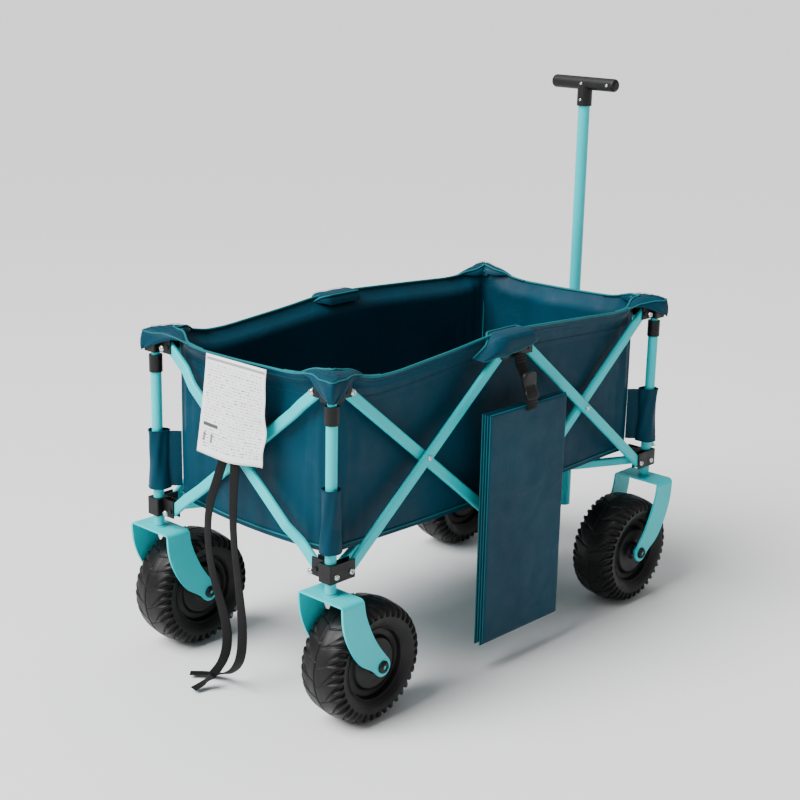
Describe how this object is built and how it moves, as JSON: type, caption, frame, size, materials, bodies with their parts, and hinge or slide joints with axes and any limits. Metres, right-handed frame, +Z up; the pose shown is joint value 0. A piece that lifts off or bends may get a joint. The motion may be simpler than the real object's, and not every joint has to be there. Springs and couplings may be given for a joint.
{
  "type": "folding wagon",
  "caption": "Folding garden wagon with a cloth basket on scissor tubes, fat-tyred swivel casters at the front, a telescoping T-handle and a hanging floor mat.",
  "frame": {"origin": "on the floor, under the middle of the four posts", "axes": "+X along the wagon toward the pull handle, +Y to its left, +Z up"},
  "size_m": [0.981, 0.5412, 0.9885],
  "materials": {
    "frame_paint": "semi-gloss turquoise powder coat on steel tube",
    "black_plastic": "moulded black plastic with steel screws",
    "tyre_black": "blow-moulded matt black tyre and hub",
    "basket_cloth": "coated dark teal polyester weave",
    "webbing": "black woven webbing",
    "paper": null
  },
  "bodies": {
    "rear_right_corner": {"lower_post_rear_right": "frame_paint", "lower_bracket_rear_right": "black_plastic", "fork_rear_right": "frame_paint"},
    "side_outer_rear_right": {"side_tube_outer_rear_right": "frame_paint"},
    "side_inner_rear_right": {"side_tube_inner_rear_right": "frame_paint"},
    "rear_right_top": {"top_bracket_rear_right": "black_plastic", "upper_rod_rear_right": "frame_paint", "basket_end_rear": "basket_cloth", "paper_tag": "paper", "tie_strap_left": "webbing", "tie_strap_right": "webbing"},
    "middle_bottom_right": {"middle_bottom_bracket_right": "black_plastic"},
    "middle_top_right": {"middle_top_bracket_right": "black_plastic", "basket_side_right": "basket_cloth"},
    "side_outer_front_right": {"side_tube_outer_front_right": "frame_paint"},
    "front_right_corner": {"lower_post_front_right": "frame_paint", "lower_bracket_front_right": "black_plastic"},
    "side_inner_front_right": {"side_tube_inner_front_right": "frame_paint"},
    "front_right_top": {"top_bracket_front_right": "black_plastic", "upper_rod_front_right": "frame_paint", "basket_end_front": "basket_cloth"},
    "end_outer_rear": {"end_tube_outer_rear": "frame_paint"},
    "end_inner_rear": {"end_tube_inner_rear": "frame_paint"},
    "rear_left_corner": {"lower_post_rear_left": "frame_paint", "lower_bracket_rear_left": "black_plastic", "fork_rear_left": "frame_paint"},
    "rear_left_top": {"top_bracket_rear_left": "black_plastic", "upper_rod_rear_left": "frame_paint"},
    "side_outer_rear_left": {"side_tube_outer_rear_left": "frame_paint"},
    "side_inner_rear_left": {"side_tube_inner_rear_left": "frame_paint"},
    "middle_bottom_left": {"middle_bottom_bracket_left": "black_plastic"},
    "middle_top_left": {"middle_top_bracket_left": "black_plastic", "basket_side_left": "basket_cloth"},
    "side_outer_front_left": {"side_tube_outer_front_left": "frame_paint"},
    "front_left_corner": {"lower_post_front_left": "frame_paint", "lower_bracket_front_left": "black_plastic"},
    "side_inner_front_left": {"side_tube_inner_front_left": "frame_paint"},
    "front_left_top": {"top_bracket_front_left": "black_plastic", "upper_rod_front_left": "frame_paint"},
    "end_outer_front": {"end_tube_outer_front": "frame_paint"},
    "end_inner_front": {"end_tube_inner_front": "frame_paint"},
    "drawbar": {"drawbar_bracket": "frame_paint"},
    "floor_arm_rear_right": {"floor_arm_rear_right": "frame_paint"},
    "floor_arm_rear_left": {"floor_arm_rear_left": "frame_paint"},
    "floor_arm_front_right": {"floor_arm_front_right": "frame_paint"},
    "floor_arm_front_left": {"floor_arm_front_left": "frame_paint"},
    "floor_hub": {"floor_hub": "black_plastic"},
    "floor_right": {"basket_floor_right": "basket_cloth"},
    "floor_left": {"basket_floor_left": "basket_cloth"},
    "wheel_rear_right": {"wheel_rear_right": "tyre_black"},
    "wheel_rear_left": {"wheel_rear_left": "tyre_black"},
    "caster_front_right": {"fork_front_right": "frame_paint"},
    "wheel_front_right": {"wheel_front_right": "tyre_black"},
    "caster_front_left": {"fork_front_left": "frame_paint"},
    "wheel_front_left": {"wheel_front_left": "tyre_black"},
    "handle_pole": {"handle_outer_tube": "frame_paint"},
    "handle_slider": {"handle_inner_tube": "frame_paint", "handle_grip": "black_plastic"},
    "mat_strap": {"mat_strap": "webbing"},
    "mat": {"floor_mat": "basket_cloth"}
  },
  "joints": [
    {"name": "fold", "type": "hinge", "parent": "rear_right_corner", "child": "side_outer_rear_right", "pos_m": [-0.397, -0.221, 0.27], "axis": [0, -1, 0], "range_deg": [0, 37], "deforming": ["basket_side_right", "basket_side_left", "basket_end_rear", "basket_end_front", "basket_floor_right", "basket_floor_left", "paper_tag", "tie_strap_left", "tie_strap_right"]},
    {"name": "side_inner_rear_right_turn", "type": "hinge", "parent": "side_outer_rear_right", "child": "side_inner_rear_right", "pos_m": [-0.215, -0.215, 0.4175], "axis": [0, -1, 0], "range_deg": [-74.5, 0]},
    {"name": "rear_right_top_turn", "type": "hinge", "parent": "side_inner_rear_right", "child": "rear_right_top", "pos_m": [-0.397, -0.209, 0.565], "axis": [0, -1, 0], "range_deg": [0, 37.5]},
    {"name": "middle_bottom_right_turn", "type": "hinge", "parent": "side_inner_rear_right", "child": "middle_bottom_right", "pos_m": [-0.033, -0.209, 0.27], "axis": [0, -1, 0], "range_deg": [0, 37.5]},
    {"name": "middle_top_right_turn", "type": "hinge", "parent": "side_outer_rear_right", "child": "middle_top_right", "pos_m": [-0.033, -0.221, 0.565], "axis": [0, -1, 0], "range_deg": [-37.5, 0]},
    {"name": "side_outer_front_right_turn", "type": "hinge", "parent": "middle_top_right", "child": "side_outer_front_right", "pos_m": [0.033, -0.221, 0.565], "axis": [0, -1, 0], "range_deg": [-37.5, 0]},
    {"name": "front_right_corner_turn", "type": "hinge", "parent": "side_outer_front_right", "child": "front_right_corner", "pos_m": [0.397, -0.221, 0.27], "axis": [0, -1, 0], "range_deg": [0, 37.5]},
    {"name": "side_inner_front_right_turn", "type": "hinge", "parent": "side_outer_front_right", "child": "side_inner_front_right", "pos_m": [0.215, -0.215, 0.4175], "axis": [0, -1, 0], "range_deg": [0, 74.5]},
    {"name": "front_right_top_turn", "type": "hinge", "parent": "side_inner_front_right", "child": "front_right_top", "pos_m": [0.397, -0.209, 0.565], "axis": [0, -1, 0], "range_deg": [-37.5, 0]},
    {"name": "end_outer_rear_turn", "type": "hinge", "parent": "rear_right_corner", "child": "end_outer_rear", "pos_m": [-0.424, -0.182, 0.27], "axis": [1, 0, 0], "range_deg": [0, 37.5]},
    {"name": "end_inner_rear_turn", "type": "hinge", "parent": "end_outer_rear", "child": "end_inner_rear", "pos_m": [-0.424, 0, 0.4175], "axis": [1, 0, 0], "range_deg": [-74.5, 0]},
    {"name": "rear_left_corner_turn", "type": "hinge", "parent": "end_inner_rear", "child": "rear_left_corner", "pos_m": [-0.424, 0.182, 0.27], "axis": [1, 0, 0], "range_deg": [0, 37.5]},
    {"name": "rear_left_top_turn", "type": "hinge", "parent": "end_outer_rear", "child": "rear_left_top", "pos_m": [-0.424, 0.182, 0.565], "axis": [1, 0, 0], "range_deg": [-37.5, 0]},
    {"name": "side_outer_rear_left_turn", "type": "hinge", "parent": "rear_left_corner", "child": "side_outer_rear_left", "pos_m": [-0.397, 0.221, 0.27], "axis": [0, -1, 0], "range_deg": [0, 37.5]},
    {"name": "side_inner_rear_left_turn", "type": "hinge", "parent": "side_outer_rear_left", "child": "side_inner_rear_left", "pos_m": [-0.215, 0.215, 0.4175], "axis": [0, -1, 0], "range_deg": [-74.5, 0]},
    {"name": "middle_bottom_left_turn", "type": "hinge", "parent": "side_inner_rear_left", "child": "middle_bottom_left", "pos_m": [-0.033, 0.209, 0.27], "axis": [0, -1, 0], "range_deg": [0, 37.5]},
    {"name": "middle_top_left_turn", "type": "hinge", "parent": "side_outer_rear_left", "child": "middle_top_left", "pos_m": [-0.033, 0.221, 0.565], "axis": [0, -1, 0], "range_deg": [-37.5, 0]},
    {"name": "side_outer_front_left_turn", "type": "hinge", "parent": "middle_top_left", "child": "side_outer_front_left", "pos_m": [0.033, 0.221, 0.565], "axis": [0, -1, 0], "range_deg": [-37.5, 0]},
    {"name": "front_left_corner_turn", "type": "hinge", "parent": "side_outer_front_left", "child": "front_left_corner", "pos_m": [0.397, 0.221, 0.27], "axis": [0, -1, 0], "range_deg": [0, 37.5]},
    {"name": "side_inner_front_left_turn", "type": "hinge", "parent": "side_outer_front_left", "child": "side_inner_front_left", "pos_m": [0.215, 0.215, 0.4175], "axis": [0, -1, 0], "range_deg": [0, 74.5]},
    {"name": "front_left_top_turn", "type": "hinge", "parent": "side_inner_front_left", "child": "front_left_top", "pos_m": [0.397, 0.209, 0.565], "axis": [0, -1, 0], "range_deg": [-37.5, 0]},
    {"name": "end_outer_front_turn", "type": "hinge", "parent": "front_right_corner", "child": "end_outer_front", "pos_m": [0.424, -0.182, 0.27], "axis": [1, 0, 0], "range_deg": [0, 37.5]},
    {"name": "end_inner_front_turn", "type": "hinge", "parent": "end_outer_front", "child": "end_inner_front", "pos_m": [0.424, 0, 0.4175], "axis": [1, 0, 0], "range_deg": [-74.5, 0]},
    {"name": "drawbar_turn", "type": "hinge", "parent": "end_outer_front", "child": "drawbar", "pos_m": [0.424, 0, 0.4175], "axis": [1, 0, 0], "range_deg": [-37.5, 0]},
    {"name": "floor_arm_rear_right_turn", "type": "hinge", "parent": "rear_right_corner", "child": "floor_arm_rear_right", "pos_m": [-0.40675, -0.20337, 0.27], "axis": [0.4472, -0.8944, 0], "range_deg": [0, 74.5]},
    {"name": "floor_arm_rear_left_turn", "type": "hinge", "parent": "rear_left_corner", "child": "floor_arm_rear_left", "pos_m": [-0.40675, 0.20337, 0.27], "axis": [-0.4472, -0.8944, 0], "range_deg": [0, 74.5]},
    {"name": "floor_arm_front_right_turn", "type": "hinge", "parent": "front_right_corner", "child": "floor_arm_front_right", "pos_m": [0.40675, -0.20337, 0.27], "axis": [0.4472, 0.8944, 0], "range_deg": [0, 74.5]},
    {"name": "floor_arm_front_left_turn", "type": "hinge", "parent": "front_left_corner", "child": "floor_arm_front_left", "pos_m": [0.40675, 0.20337, 0.27], "axis": [-0.4472, 0.8944, 0], "range_deg": [0, 74.5]},
    {"name": "floor_hub_turn", "type": "hinge", "parent": "floor_arm_rear_right", "child": "floor_hub", "pos_m": [-0.06708, -0.03354, 0.27], "axis": [0.4472, -0.8944, 0], "range_deg": [-74.5, 0]},
    {"name": "floor_right_turn", "type": "hinge", "parent": "middle_top_right", "child": "floor_right", "pos_m": [0, -0.1855, 0.2887], "axis": [1, 0, 0], "range_deg": [0, 63.4]},
    {"name": "floor_left_turn", "type": "hinge", "parent": "middle_top_left", "child": "floor_left", "pos_m": [0, 0.1855, 0.2887], "axis": [-1, 0, 0], "range_deg": [0, 63.4]},
    {"name": "wheel_spin_rear_right", "type": "hinge", "parent": "rear_right_corner", "child": "wheel_rear_right", "pos_m": [-0.36, -0.215, 0.105], "axis": [0, 1, 0], "continuous": true},
    {"name": "wheel_spin_rear_left", "type": "hinge", "parent": "rear_left_corner", "child": "wheel_rear_left", "pos_m": [-0.36, 0.215, 0.105], "axis": [0, 1, 0], "continuous": true},
    {"name": "caster_swivel_front_right", "type": "hinge", "parent": "front_right_corner", "child": "caster_front_right", "pos_m": [0.43, -0.215, 0.236], "axis": [0, 0, 1], "continuous": true},
    {"name": "wheel_spin_front_right", "type": "hinge", "parent": "caster_front_right", "child": "wheel_front_right", "pos_m": [0.36, -0.215, 0.105], "axis": [0, 1, 0], "continuous": true},
    {"name": "caster_swivel_front_left", "type": "hinge", "parent": "front_left_corner", "child": "caster_front_left", "pos_m": [0.43, 0.215, 0.236], "axis": [0, 0, 1], "continuous": true},
    {"name": "wheel_spin_front_left", "type": "hinge", "parent": "caster_front_left", "child": "wheel_front_left", "pos_m": [0.36, 0.215, 0.105], "axis": [0, 1, 0], "continuous": true},
    {"name": "handle_tilt", "type": "hinge", "parent": "drawbar", "child": "handle_pole", "pos_m": [0.4615, 0, 0.242], "axis": [0, 1, 0], "range_deg": [0, 75]},
    {"name": "handle_slide", "type": "slide", "parent": "handle_pole", "child": "handle_slider", "axis": [0, 0, 1], "range_m": [-0.27, 0]},
    {"name": "mat_strap_turn", "type": "hinge", "parent": "middle_top_right", "child": "mat_strap", "pos_m": [0, -0.234, 0.556], "axis": [-1, 0, 0], "range_deg": [0, 5.68]},
    {"name": "mat_swing", "type": "hinge", "parent": "mat_strap", "child": "mat", "pos_m": [0, -0.25215, 0.4745], "axis": [-1, 0, 0], "range_deg": [0, 35]}
  ],
  "couplings": [
    {"joint": "side_inner_rear_right_turn", "follows": "fold", "ratio": -2},
    {"joint": "rear_right_top_turn", "follows": "fold", "ratio": 1},
    {"joint": "middle_bottom_right_turn", "follows": "fold", "ratio": 1},
    {"joint": "middle_top_right_turn", "follows": "fold", "ratio": -1},
    {"joint": "side_outer_front_right_turn", "follows": "fold", "ratio": -1},
    {"joint": "front_right_corner_turn", "follows": "fold", "ratio": 1},
    {"joint": "side_inner_front_right_turn", "follows": "fold", "ratio": 2},
    {"joint": "front_right_top_turn", "follows": "fold", "ratio": -1},
    {"joint": "end_outer_rear_turn", "follows": "fold", "ratio": 1},
    {"joint": "end_inner_rear_turn", "follows": "fold", "ratio": -2},
    {"joint": "rear_left_corner_turn", "follows": "fold", "ratio": 1},
    {"joint": "rear_left_top_turn", "follows": "fold", "ratio": -1},
    {"joint": "side_outer_rear_left_turn", "follows": "fold", "ratio": 1},
    {"joint": "side_inner_rear_left_turn", "follows": "fold", "ratio": -2},
    {"joint": "middle_bottom_left_turn", "follows": "fold", "ratio": 1},
    {"joint": "middle_top_left_turn", "follows": "fold", "ratio": -1},
    {"joint": "side_outer_front_left_turn", "follows": "fold", "ratio": -1},
    {"joint": "front_left_corner_turn", "follows": "fold", "ratio": 1},
    {"joint": "side_inner_front_left_turn", "follows": "fold", "ratio": 2},
    {"joint": "front_left_top_turn", "follows": "fold", "ratio": -1},
    {"joint": "end_outer_front_turn", "follows": "fold", "ratio": 1},
    {"joint": "end_inner_front_turn", "follows": "fold", "ratio": -2},
    {"joint": "drawbar_turn", "follows": "fold", "ratio": -1},
    {"joint": "floor_arm_rear_right_turn", "follows": "fold", "ratio": 2},
    {"joint": "floor_arm_rear_left_turn", "follows": "fold", "ratio": 2},
    {"joint": "floor_arm_front_right_turn", "follows": "fold", "ratio": 2},
    {"joint": "floor_arm_front_left_turn", "follows": "fold", "ratio": 2},
    {"joint": "floor_hub_turn", "follows": "fold", "ratio": -2},
    {"joint": "floor_right_turn", "follows": "fold", "ratio": 1.7},
    {"joint": "floor_left_turn", "follows": "fold", "ratio": 1.7},
    {"joint": "mat_strap_turn", "follows": "fold", "ratio": 0.14}
  ]
}
